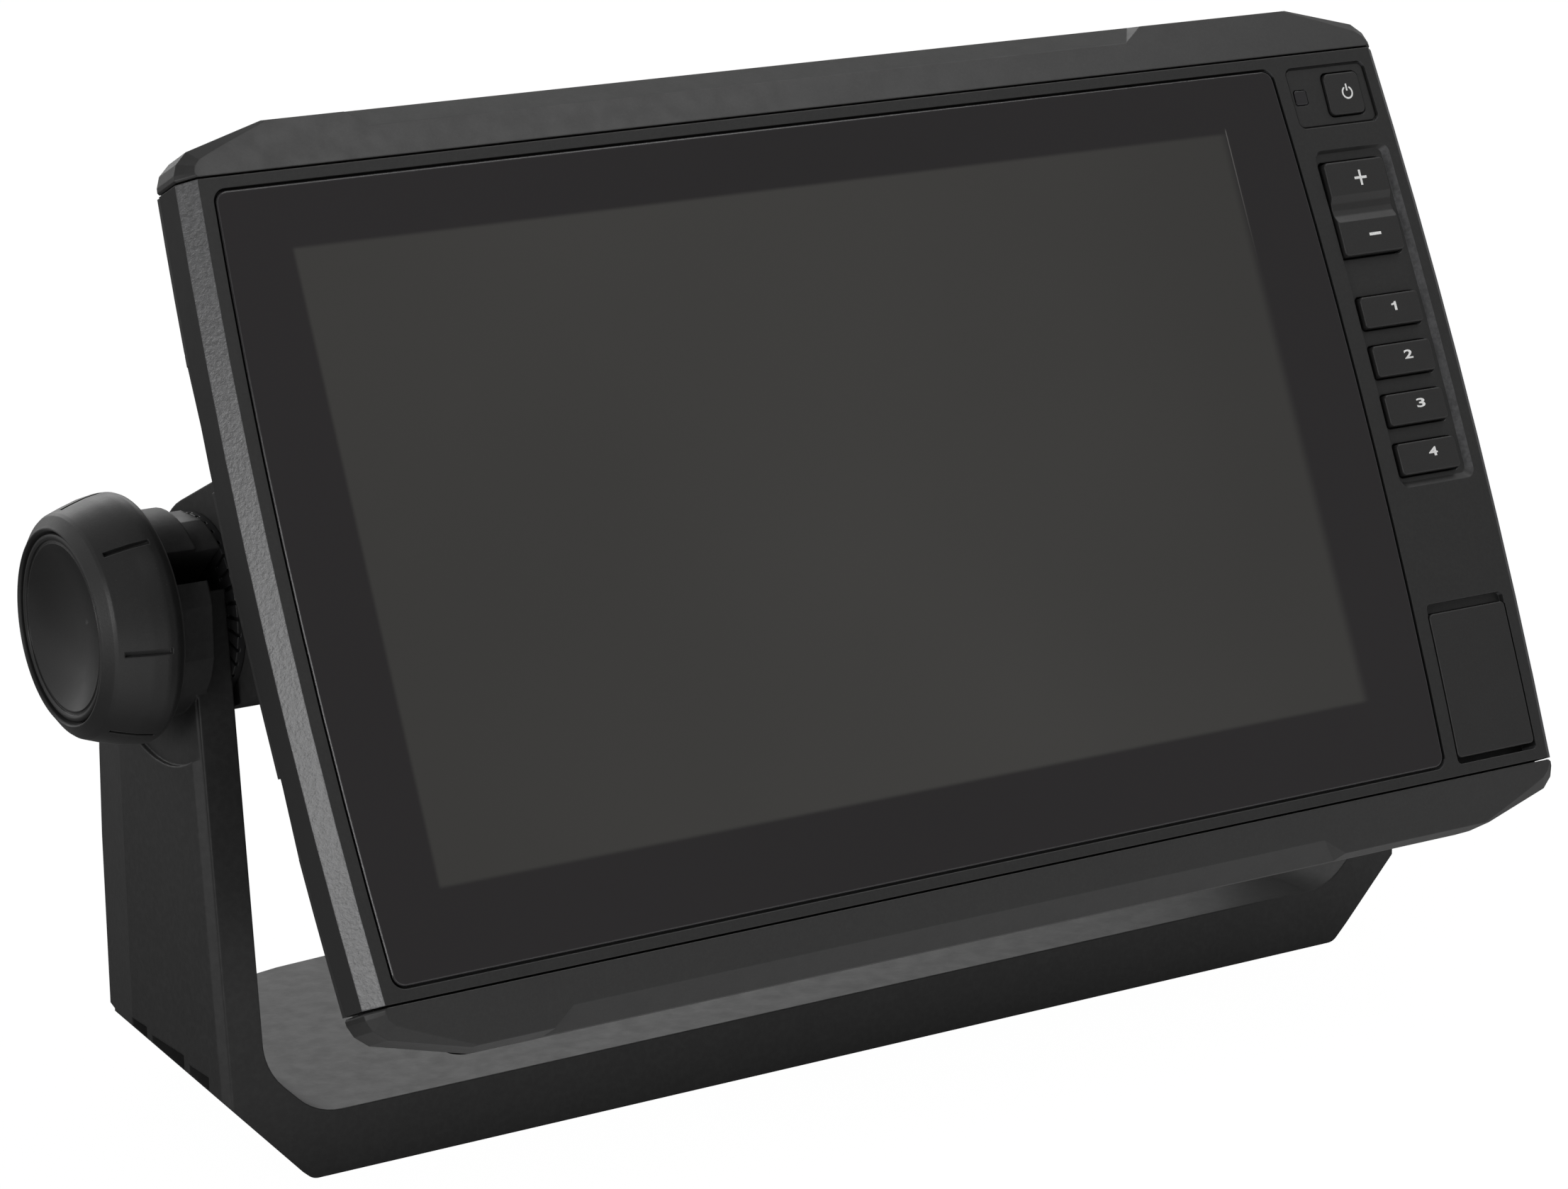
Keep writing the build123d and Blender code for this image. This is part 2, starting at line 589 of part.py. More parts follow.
def rear_housing():
    house = extrude_y(bowed(-128.9, 128.9, -71.6, 71.6), LIP_Y0, LIP_Y1)
    for up in (1, -1):
        flange = mirrored_poly([(127.0, 71), (126.0, 74.3), (109.5, 79.3)], up)
        house += extrude_y(flange, LIP_Y0, LIP_Y1 + 0.6)
    house += tapered([(LIP_Y1 - 0.5, HOUSE_HALF, 69.5, 9.0),
                      (44.0, HOUSE_HALF - 5, 65.0, 11.0),
                      (HOUSE_DEPTH, HOUSE_HALF - 17, 54.0, 12.0)])
    # side bosses: blocks that run back from the lip and end in a half round at the pivot
    for side in (1, -1):
        x0, x1 = sided(side, BOSS_X0, BOSS_X1)
        house += (rod_x(HEAD_PIVOT_Y, HEAD_PIVOT_Z, BOSS_R, x0, x1)
                  + box(x0, x1, LIP_Y1 - 0.4, HEAD_PIVOT_Y,
                        HEAD_PIVOT_Z - BOSS_R, HEAD_PIVOT_Z + BOSS_R))
    # inside
    house -= tapered([(LIP_Y0 - 1, HOUSE_HALF - WALL, 66.5, 6.5),
                      (43.0, HOUSE_HALF - 8.4, 61.8, 8.5),
                      (HOUSE_DEPTH - WALL, HOUSE_HALF - 20, 51.5, 9.0)])
    # pivot insert seats in the bosses, closed on the inside
    for side in (1, -1):
        house -= rod_x(HEAD_PIVOT_Y, HEAD_PIVOT_Z, 7.0, *sided(side, 106.0, 130.0))
        house += rod_x(HEAD_PIVOT_Y, HEAD_PIVOT_Z, 9.5, *sided(side, 103.5, 108.0))
        house -= rod_x(HEAD_PIVOT_Y, HEAD_PIVOT_Z, 7.0, *sided(side, 105.5, 130.0))
    # connector bay in the back, with a floor that carries the sockets
    house += extrude_y(rect(*grown(BAY, BAY_WALL), 6.0), BAY_Y - BAY_WALL, HOUSE_DEPTH - 0.5)
    house -= extrude_y(rect(*BAY, 4.0), BAY_Y, HOUSE_DEPTH + 2)
    for group in SOCKETS.values():
        for x, r, _, _ in group:
            house -= rod_y(x, SOCKET_Z, r - 1.6, BAY_Y - 4, BAY_Y + 4)
    # grooves on the back: beside the bay they run further down
    for i in range(17):
        x = -80 + i * 10
        z0 = 2.0 if abs(x) < 64 else -36.0
        house -= box(x - 2.4, x + 2.4, HOUSE_DEPTH - 1.4, HOUSE_DEPTH + 1, z0, 44.0)
    # vent seat
    house -= rod_y(VENT_X, VENT_Z, 4.0, HOUSE_DEPTH - 8, HOUSE_DEPTH + 2)
    # case screw and flush-mount holes
    for places, r in ((CASE_SCREWS, 1.7), (FLUSH_HOLES, 2.1)):
        for x, z in places:
            house -= rod_y(x, z, r, 9, 14)
    # pillars for the connector board
    for x, z in SOCKET_BOARD_PILLARS:
        house += rod_y(x, z, 2.6, 36.2, HOUSE_DEPTH - 2.0)
        house -= rod_y(x, z, 1.2, 35.0, 44.0)
    # room for the heads of the heat spreader's left-hand screws
    for x, z in SPREADER_SCREWS:
        if x < 0:
            house -= rod_y(x, z, 3.1, LIP_Y0 - 1, 11.3)
    # small notches along the lip's edge, both sides
    for side in (1, -1):
        x0, x1 = sided(side, BEZEL_HALF + 0.9, BEZEL_HALF + 8)
        for z0, z1 in ((44.0, 50.5), (20.0, 42.0), (-52.0, -46.0), (-44.0, -30.0)):
            house -= box(x0, x1, LIP_Y0 - 1, LIP_Y1 + 1, z0, z1)
    return largest(house)


def case_screws():
    return [pan_screw(x, z, seat=LIP_Y1 + 0.65, head_r=2.9, head_h=1.9, shank_r=1.25, shank_l=6.2)
            for x, z in CASE_SCREWS]


def vent_plug():
    plug = (rod_y(VENT_X, VENT_Z, 3.95, HOUSE_DEPTH - 4.0, HOUSE_DEPTH + 0.2)
            + rod_y(VENT_X, VENT_Z, 5.6, HOUSE_DEPTH + 0.05, HOUSE_DEPTH + 1.3))
    for i in range(6):
        angle = math.radians(60 * i)
        plug -= rod_y(VENT_X + 3.2 * math.cos(angle), VENT_Z + 3.2 * math.sin(angle), 0.6,
                      HOUSE_DEPTH - 1, HOUSE_DEPTH + 3)
    return largest(plug)


# ------------------------------- sockets -----------------------------------
def connector_board():
    board = extrude_y(rect(-60.0, 60.0, -52.0, -6.5, 1.5), 34.5, 36.1)
    for x, z in SOCKET_BOARD_PILLARS:
        board -= rod_y(x, z, 1.4, 33, 38)
    board += box(-14, 14, 30.0, 34.6, -14.0, -8.0)
    return largest(board)


def connector_board_screws():
    """Screws turned round, with their heads on the board's front."""
    screw = pan_screw(0, 0, seat=-34.45, head_r=2.5, head_h=1.4, shank_r=1.15, shank_l=6.5)
    return [Pos(x, 0, z) * Rot(0, 0, 180) * screw for x, z in SOCKET_BOARD_PILLARS]


def socket(x, r, pins, pin_circle):
    """Round bulkhead socket: flange, grooved barrel, key and contact pins."""
    body = (rod_y(x, SOCKET_Z, r - 1.65, 36.2, BAY_Y + 0.5)
            + rod_y(x, SOCKET_Z, r, BAY_Y + 0.03, BAY_Y + 1.8))
    body += rod_y(x, SOCKET_Z, r - 0.9, BAY_Y + 1.7, BAY_Y + 11.0)
    body -= rod_y(x, SOCKET_Z, r - 2.3, BAY_Y + 3.2, BAY_Y + 12)
    for i in range(4):
        y = BAY_Y + 3.6 + i * 1.7
        body -= (rod_y(x, SOCKET_Z, r + 1, y, y + 0.6)
                 - rod_y(x, SOCKET_Z, r - 1.3, y - 1, y + 2))
    for i in range(pins):
        angle = 2 * math.pi * i / pins + 0.3
        body += rod_y(x + pin_circle * math.cos(angle), SOCKET_Z + pin_circle * math.sin(angle),
                      0.55, BAY_Y + 3.0, BAY_Y + 9.0)
    body += box(x - 0.7, x + 0.7, BAY_Y + 3.0, BAY_Y + 10.0,
                SOCKET_Z + r - 3.3, SOCKET_Z + r - 2.2)
    return largest(body)


# --------------------------- knobs and pivots ------------------------------
# The right-hand pieces, modelled about the X axis through the pivot.
CAP_SEAT_X = 143.2
HEX_X = 139.6
# Outer corners of the knob that are rounded: x, radius from the axis, fillet radius
KNOB_CORNERS = [(136.6, 21.7, 1.4), (137.7, KNOB_R, 1.6), (139.4, KNOB_R, 4.0),
                (142.3, 21.65, 6.0), (145.3, 20.75, 8.0)]


def ring(x0, x1, outer_r, inner_r):
    return rod_x(0, 0, outer_r, x0, x1) - rod_x(0, 0, inner_r, x0 - 1, x1 + 1)


def hexagon_x(apothem, x0, x1):
    return extrude_x(RegularPolygon(apothem, 6, major_radius=False), x0, x1)


def knob():
    # half section (x, radius)
    profile = poly([(KNOB_IN, KNOB_BORE), (KNOB_IN, 18.75), (135.6, 18.75), (135.6, 20.1)]
                   + [(x, r) for x, r, _ in KNOB_CORNERS]
                   + [(147.9, 19.85), (148.45, 19.45), (149.75, 17.75), (KNOB_OUT, 17.45),
                      (KNOB_OUT, 17.2), (149.6, 17.0), (CAP_SEAT_X, 16.9),
                      (CAP_SEAT_X, KNOB_BORE)])
    for x, r, size in KNOB_CORNERS:
        corner = profile.vertices().filter_by(
            lambda v: abs(v.X - x) < 0.01 and abs(v.Y - r) < 0.01)
        # a corner stays sharp if an earlier fillet used it up or left too little room
        try:
            profile = fillet(corner, size)
        except Exception:
            pass
    body = revolve(Plane.XY * profile, axis=Axis.X, revolution_arc=360)
    # seven grip notches
    notch = [(138.9, KNOB_R - 0.75), (146.9, KNOB_R - 3.1),
             (146.9, KNOB_R + 3), (138.9, KNOB_R + 3)]
    for i in range(7):
        body -= Rot(360 / 7 * i + 13.3, 0, 0) * extrude_y(poly(notch), -0.5, 0.5)
    # hexagon pocket for the stud's head, and bore
    body -= hexagon_x(5.55, HEX_X, 144.0)
    body -= rod_x(0, 0, KNOB_BORE, KNOB_IN - 1, 144.0)
    return largest(body)


def knob_cap():
    """Dished cap: a raised rim, a fine groove and a deep bowl."""
    back, floor, rim_r = CAP_SEAT_X + 0.05, 144.65, 16.6
    bowl_edge_r, bowl_depth = 14.75, 4.6
    bowl_r = (bowl_edge_r ** 2 + bowl_depth ** 2) / (2 * bowl_depth)
    bowl_centre = floor + bowl_r
    bowl_mid = (bowl_centre - math.sqrt(bowl_r ** 2 - 8.0 ** 2), 8.0)
    # half section (x, radius)
    profile = make_face(
        Line((back, 0), (back, rim_r))
        + Line((back, rim_r), (149.0, rim_r))
        + ThreePointArc((149.0, rim_r), (149.42, 16.3), (149.5, 15.8))
        + Line((149.5, 15.8), (149.3, 15.35))
        + Line((149.3, 15.35), (149.0, 15.35))
        + Line((149.0, 15.35), (149.0, 14.9))
        + Line((149.0, 14.9), (149.25, bowl_edge_r))
        + ThreePointArc((149.25, bowl_edge_r), bowl_mid, (floor, 0))
        + Line((floor, 0), (back, 0)))
    return largest(revolve(Plane.XY * profile, axis=Axis.X, revolution_arc=360))


def knob_stud():
    stud = rod_x(0, 0, STUD_R, 108.6, 141.0) + hexagon_x(5.5, HEX_X + 0.05, CAP_SEAT_X - 0.05)
    stud += rod_x(0, 0, KNOB_BORE - 0.05, KNOB_IN + 0.2, 140.0)
    tip = stud.faces().sort_by(Axis.X)[0].edges()
    return largest(soft(chamfer, stud, tip, 0.6))


def friction_washer():
    return largest(ring(HUB_OUT + 0.04, KNOB_IN - 0.06, 17.4, STUD_R + RUNNING_GAP))


def pivot_insert():
    insert = ring(106.6, 122.2, 6.98, STUD_R + RUNNING_GAP)
    for i in range(3):
        insert -= ring(109.5 + 4 * i, 110.6 + 4 * i, 8.5, 6.4)
    return largest(insert)


def tilt_ring():
    """Ring with radial grooves in its outer face."""
    body = ring(122.35, 123.95, 16.6, 7.6)
    for i in range(36):
        body -= Rot(10 * i, 0, 0) * box(123.35, 125, -0.35, 0.35, 12.2, 18)
    return largest(body)


# ------------------------------ bail bracket -------------------------------
# Plan outline, right half (x, y)
PLAN_HALF = [(132, 0), (132, 53), (106, 71.5), (84, 76.3), (50, 79.2), (0, BASE_DEPTH)]
# Side view of an arm and the base that carries it (y, z)
ARM_SIDE = [
    (-1, -1), (BASE_DEPTH + 1, -1), (BASE_DEPTH + 1, 16.0), (62.0, 14.0), (58.0, 15.2),
    (57.0, 18.0), (56.9, 24.0), (56.2, 45.0), (54.3, 69.0), (53.2, 76.0), (46.0, 91.0),
    (37.2, 106.5), (29.0, 119.0), (8.6, 119.0), (8.4, 109.0), (0.6, 24.0), (0.0, 17.0),
    (-1, 17.0),
]
# Material kept beside the eye at the top of each arm (y, z)
EYE_SHOULDER = [(8.4, 100), (39.5, 100), (37.5, 106.0), (36.2, 108.6), (20, 108.6), (8.4, 108.9)]
# Pockets along the lower outer corner: front y, back y, height at the outside
CORNER_POCKETS = [(6.6, 14.8, 20.4), (16.6, 30.0, 22.0), (31.8, 38.4, 23.2),
                  (40.2, 50.4, 19.4), (52.2, 62.0, 19.4)]
# Hollows in the underside: x range of a column, then the y ranges of its cells
MIDDLE_CELLS = [(3.4, 19.0), (21.0, 37.6), (40.0, 66.0), (68.0, 72.6)]
UNDERSIDE = [
    ((85, 106), MIDDLE_CELLS[:3]),
    ((71.4, 82.6), [(3.4, 9.0), (21.0, 37.6), (40.0, 56.0), (68.0, 72.6)]),
    ((36, 69), MIDDLE_CELLS),
    ((1.2, 33.6), MIDDLE_CELLS),
]
SLOT_RISE, SLOT_LENGTH = 0.80, 40.0
SLOT_R = STUD_R + 0.1
BEVEL_LEAN, BEVEL_Z0, BEVEL_Z1 = 0.098, 15, 109      # front bevel, y gained per z


def bracket_side(bracket, side):
    """Hub, slot, bevels and pockets of one arm."""
    def outline(points):
        return poly([(side * x, other) for x, other in points])

    hub_guard = rod_x(PIVOT_Y, PIVOT_Z, HUB_R + 0.3, *sided(side, 128.0, 137.0))
    # dished field round the knob, then the thick hub
    bracket -= rod_x(PIVOT_Y, PIVOT_Z, 27.2, *sided(side, 131.0, 136.0))
    bracket += (rod_x(PIVOT_Y, PIVOT_Z, HUB_R, *sided(side, HUB_IN, HUB_OUT))
                & box(-140, 140, 2.9, 60, 60, 130))
    # slot that opens forwards and up, so the head lifts out
    slot_x = sided(side, 120.0, 140.0)
    bracket -= (Pos(0, PIVOT_Y, PIVOT_Z) * Rot(-math.degrees(math.atan(SLOT_RISE)), 0, 0)
                * box(*slot_x, -SLOT_LENGTH, 0, -SLOT_R, SLOT_R))
    bracket -= rod_x(PIVOT_Y, PIVOT_Z, SLOT_R, *slot_x)
    # bevels on the arm's outer edges: narrow at the front, wide at the back
    bracket -= extrude_z(outline([(133, -1), (130.5, -1), (132.01, 1.3), (133, 1.3)]), 12, 20)
    front = outline([(ARM_OUT + 1, -3), (130.7, -3), (130.7, 0.0), (ARM_OUT, 1.5),
                     (ARM_OUT + 1, 1.5)])
    top_plane = Plane(origin=(0, BEVEL_LEAN * (BEVEL_Z1 - BEVEL_Z0), BEVEL_Z1),
                      x_dir=(1, 0, 0), z_dir=(0, 0, 1))
    front_bevel = loft([level_plane(BEVEL_Z0) * front, top_plane * front], ruled=True)
    bracket -= front_bevel - hub_guard
    back = outline([(ARM_OUT + 1, 37.8), (ARM_OUT, 37.8), (126.8, 62.9), (ARM_OUT + 1, 62.9)])
    bracket -= extrude_z(back, -1, 97.0) - hub_guard
    # the 45 degree corner leans inwards towards the back
    lean = Plane(origin=(side * 115.95, 0, 0), x_dir=(-side * 0.0908, 0.9959, 0),
                 z_dir=(side * 0.7313, 0.0667, -0.6788))
    bracket -= lean * box(-30, 120, -60, 60, 0, 25)
    # open pockets along the lower outer corner, parted by ribs
    for y0, y1, top in CORNER_POCKETS:
        pocket = extrude_y(outline([(134, -2), (108.0, -2), (108.0, 4.6), (126.4, 21.0),
                                    (134, top)]), y0, y1)
        pocket &= extrude_y(outline([(134, -2), (109.5, -2), (109.5, 7.4), (115.5, 8.4),
                                     (127.0, 19.9), (127.0, top + 0.3), (134, top + 0.3)]),
                            y0, y1)
        bracket -= pocket
    return bracket


def bail_bracket():
    # front view: base, 45 degree corners, upright arms
    outer = mirrored_poly([(BOTTOM_HALF, 0), (ARM_OUT, ARM_OUT - BOTTOM_HALF), (ARM_OUT, 130)])
    outer = fillet(outer.vertices().filter_by(lambda v: v.Y < 5), 3.0)
    outer = fillet(outer.vertices().filter_by(lambda v: 10 < v.Y < 30), 1.6)
    inner = mirrored_poly([(114.2, FLOOR_Z), (ARM_IN, 21.9), (ARM_IN, 140)])
    inner = fillet(inner.vertices().filter_by(lambda v: v.Y < 30), 12.0)
    bracket = extrude_y(outer, 0, BASE_DEPTH) & extrude_z(mirrored_poly(PLAN_HALF), -1, 140)
    bracket -= extrude_y(inner, -1, BASE_DEPTH + 1)
    bracket = bracket & extrude_x(poly(ARM_SIDE), -140, 140)
    # round the eye at the top of each arm
    above = extrude_x(poly([(-5, PIVOT_Z), (60, PIVOT_Z), (60, 140), (-5, 140)]), -140, 140)
    eye = rod_x(PIVOT_Y, PIVOT_Z, 17.0, -140, 140)
    bracket -= (above - eye - extrude_x(poly(EYE_SHOULDER), -140, 140))
    for side in (1, -1):
        bracket = bracket_side(bracket, side)
    # underside: cored out between a rim and ribs
    for (x0, x1), cells in UNDERSIDE:
        for side in (-1, 1):
            for y0, y1 in cells:
                bracket -= box(*sided(side, x0, x1), y0, y1, -1, 8.2)
    # four mounting screw holes with countersinks
    for x in (-SCREW_X, SCREW_X):
        for y in SCREW_YS:
            bracket -= rod_z(x, y, SCREW_R, -1, 13)
            bracket -= (Pos(x, y, FLOOR_Z - COUNTERSINK)
                        * Cone(SCREW_R, SCREW_R + COUNTERSINK, COUNTERSINK + 0.01,
                               align=(Align.CENTER, Align.CENTER, Align.MIN)))
    return largest(bracket)


# ------------------------------- export ------------------------------------
os.makedirs("parts", exist_ok=True)

for build in (front_bezel, cover_glass, glass_adhesive, lcd_panel, lcd_backlight,
              heat_spreader, spreader_screws, main_board, board_screws, shield_can,
              gnss_antenna, buzzer, lcd_ribbon_cable, keypad_board, keypad_mat, power_key,
              zoom_rocker, light_sensor_window, card_door, card_door_pin, card_door_seal,
              card_reader, case_seal, rear_housing, case_screws, vent_plug,
              connector_board, connector_board_screws):
    save(build.__name__, build(), HEAD_PLACE)

for number, key_z in enumerate(KEY_ZS, start=1):
    save(f"key_{number}", key_cap(key_area(key_z), y_top=-0.45, r=0.8, crown=0.35), HEAD_PLACE)

# the lower trim is the upper one turned over
upper_trim = top_trim()
save("top_trim", upper_trim, HEAD_PLACE)
save("bottom_trim", largest(mirror(upper_trim, about=Plane.XY)), HEAD_PLACE)

for name, group in SOCKETS.items():
    save(name, [socket(*sizes) for sizes in group], HEAD_PLACE)

for build in (knob, knob_cap, knob_stud, friction_washer, pivot_insert, tilt_ring):
    right_piece = build()
    save("right_" + build.__name__, right_piece, PIVOT_PLACE)
    save("left_" + build.__name__, largest(mirror(right_piece, about=Plane.YZ)), PIVOT_PLACE)

save("bail_bracket", bail_bracket(), BRACKET_PLACE)
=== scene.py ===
"""A display unit on a bail bracket: a glass-fronted head held between two side knobs.

The scene is in metres, +Z up, with the screen facing -Y and leaning back. The head's own
frame is upright: x to the right, y into the case, z up the screen. Legends are drawn in it
in millimetres.
"""
import math

import bmesh
import bpy
from mathutils import Matrix, Vector


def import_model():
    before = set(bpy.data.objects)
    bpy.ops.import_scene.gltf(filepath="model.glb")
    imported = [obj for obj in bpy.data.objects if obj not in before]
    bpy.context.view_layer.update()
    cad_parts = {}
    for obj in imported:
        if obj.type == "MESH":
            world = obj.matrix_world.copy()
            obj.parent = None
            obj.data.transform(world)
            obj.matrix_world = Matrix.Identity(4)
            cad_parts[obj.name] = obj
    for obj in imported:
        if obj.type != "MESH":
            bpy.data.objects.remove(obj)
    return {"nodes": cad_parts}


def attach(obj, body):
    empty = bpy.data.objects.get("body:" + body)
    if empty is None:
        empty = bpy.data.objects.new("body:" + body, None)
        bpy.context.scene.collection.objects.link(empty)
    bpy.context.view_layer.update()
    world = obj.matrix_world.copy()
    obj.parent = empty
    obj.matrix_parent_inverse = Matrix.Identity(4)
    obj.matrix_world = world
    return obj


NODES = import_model()["nodes"]
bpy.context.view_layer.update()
scene = bpy.context.scene

TILT = math.radians(24.0)  # lean of the head, about the line through both knobs
KNOB_LINE = Vector((0, -0.0195, 0.1025))  # that line in the scene
KNOB_LINE_IN_HEAD = Vector((0, 0.0441, 0.0059))
HEAD = (Matrix.Translation(KNOB_LINE) @ Matrix.Rotation(-TILT, 4, "X")
        @ Matrix.Translation(-KNOB_LINE_IN_HEAD))
HEAD_MM = HEAD @ Matrix.Scale(0.001, 4)
# Shift from scene to head after turning by TILT; adding 0.0 clears a negative zero.
HEAD_SHIFT = [round(value, 6) + 0.0 for value in HEAD.inverted().translation]


# ---------------------------------------------------------- shader graphs ----
def pick(sockets, key):
    """The enabled socket of that name, or the socket at that index."""
    return next((s for s in sockets if s.name == key and s.enabled), sockets[key])


class Signal:
    """A node output. Arithmetic on signals adds Math nodes."""

    def __init__(self, graph, socket):
        self.graph = graph
        self.socket = socket

    def __add__(self, other):
        return self.graph.maths("ADD", self, other)

    def __sub__(self, other):
        return self.graph.maths("SUBTRACT", self, other)

    def __rsub__(self, other):
        return self.graph.maths("SUBTRACT", other, self)

    def __mul__(self, other):
        return self.graph.maths("MULTIPLY", self, other)

    def __abs__(self):
        return self.graph.maths("ABSOLUTE", self)

    def sine(self):
        return self.graph.maths("SINE", self)

    def ramp(self, start, end, to=(0.0, 1.0), smooth=True):
        """Map start..end onto the range `to`."""
        return self.graph.add(
            "MapRange", {"Value": self, "From Min": start, "From Max": end,
                         "To Min": to[0], "To Max": to[1]},
            interpolation_type="SMOOTHSTEP" if smooth else "LINEAR")

    def step(self, at, soft, to=(0.0, 1.0)):
        """A step at a value, softened by `soft` to either side."""
        return self.ramp(at - soft, at + soft, to)

    def split(self):
        """The three components of a vector."""
        node = self.graph.node("SeparateXYZ", {0: self})
        return [Signal(self.graph, socket) for socket in node.outputs]

    def noise(self, scale, detail=3.0, rough=0.55, distortion=0.0):
        return self.graph.add("TexNoise", {"Vector": self, "Scale": scale, "Detail": detail,
                                           "Roughness": rough, "Distortion": distortion})

    def voronoi(self, scale, output="Distance", **props):
        return self.graph.add("TexVoronoi", {"Vector": self, "Scale": scale}, output, **props)

    def in_head(self):
        """A scene point in the head's own frame, in metres."""
        return self.graph.add("Mapping", {"Vector": self, "Location": HEAD_SHIFT,
                                          "Rotation": (TILT, 0, 0)})


class Graph:
    """Builds the node tree of a material or world from empty."""

    def __init__(self, owner):
        owner.use_nodes = True
        self.tree = owner.node_tree
        self.tree.nodes.clear()

    def node(self, kind, inputs=None, **props):
        node = self.tree.nodes.new("ShaderNode" + kind)
        for name, value in props.items():
            setattr(node, name, value)
        for key, value in (inputs or {}).items():
            socket = pick(node.inputs, key)
            if isinstance(value, Signal):
                self.tree.links.new(value.socket, socket)
            else:
                socket.default_value = (*value, 1.0) if socket.type == "RGBA" else value
        return node

    def add(self, kind, inputs=None, output=0, **props):
        """Add a node and return one of its outputs."""
        return Signal(self, pick(self.node(kind, inputs, **props).outputs, output))

    def maths(self, operation, *values, clamp=False):
        return self.add("Math", dict(enumerate(values)), operation=operation, use_clamp=clamp)

    def mix(self, factor, first, second, blend="MIX"):
        return self.add("Mix", {"Factor": factor, "A": first, "B": second}, "Result",
                        data_type="RGBA", blend_type=blend)

    def shade(self, color, level):
        """Multiply a colour by a grey level."""
        grey = self.add("CombineColor", {0: level, 1: level, 2: level})
        return self.mix(1.0, color, grey, "MULTIPLY")

    def coords(self):
        return self.add("TexCoord", output="Object")

    def geometry(self, output="Normal"):
        return self.add("NewGeometry", output=output)

    def bump(self, height, distance, normal):
        return self.add("Bump", {"Strength": 1.0, "Distance": distance, "Height": height,
                                 "Normal": normal})

    def edges(self, radius):
        """A rounded shading normal, and how close to an edge the point lies."""
        normal = self.add("Bevel", {"Radius": radius}, samples=6)
        facing = self.add("VectorMath", {0: normal, 1: self.geometry()}, "Value",
                          operation="DOT_PRODUCT")
        return normal, facing.ramp(0.995, 0.86)

    def principled(self, **extra):
        """Finish a material; argument names are input names with underscores."""
        inputs = {name.replace("_", " "): value for name, value in extra.items()}
        inputs["Specular IOR Level"] = 0.5
        self.node("OutputMaterial", {0: self.add("BsdfPrincipled", inputs)})


# -------------------------------------------------------------- materials ----
def satin_ends(graph, point, base, roughness, height, color, rough, relief):
    """Make sloping ends glossier and coarser and paint them paler, a painted highlight; paint
    flat sides darker, a painted shade, and make them duller.
    """
    sideways = abs(graph.geometry("True Normal").split()[0])
    sloped = sideways.ramp(0.35, 0.5) * sideways.ramp(0.97, 0.90)
    flat = sideways.ramp(0.96, 0.985)
    pits = point.noise(1150.0, detail=2.0, rough=0.7)
    # Painted highlight: sloping ends are painted paler. Painted shade: flat sides are painted
    # darker.
    base = graph.mix(sloped * pits.ramp(0.30, 0.70, to=(0.55, 1.0)), base, color)
    base = graph.mix(flat * 0.7, base, (0.0065, 0.0065, 0.0066))
    roughness = roughness + flat * 0.22
    roughness = roughness * (1.0 - sloped) + sloped * rough
    return base, roughness, height + sloped * pits * relief


